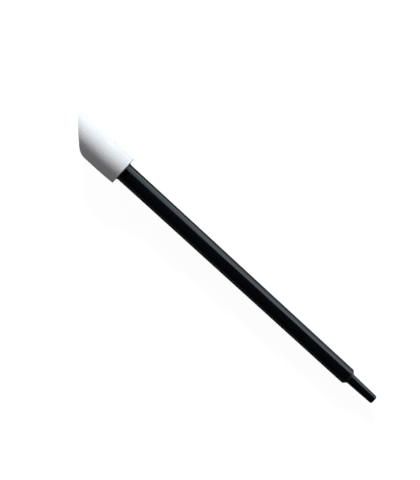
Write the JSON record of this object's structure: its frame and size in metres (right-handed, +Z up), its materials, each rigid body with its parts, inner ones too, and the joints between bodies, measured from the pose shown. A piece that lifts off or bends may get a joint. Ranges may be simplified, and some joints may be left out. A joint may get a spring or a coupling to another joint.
{
  "type": "foam cleaning swab",
  "caption": "Cleaning swab for fibre connectors: slim tapered black plastic stick with a round white foam head cut off at a slant, and a bare stepped-down peg at the other end.",
  "frame": {"origin": "on the table below the middle of the swab's outer box, as the swab lies", "axes": "+X along the swab from the foam's point towards the bare peg, +Y towards the side of the foam that carries the point, +Z up from the table"},
  "size_m": [0.07, 0.0056, 0.0056],
  "materials": {
    "black_plastic": "satin-gloss moulded plastic",
    "white_foam": "fine-pored open-cell foam, dull"
  },
  "bodies": {
    "root": {"handle": "black_plastic", "foam_tip": "white_foam"}
  },
  "joints": []
}
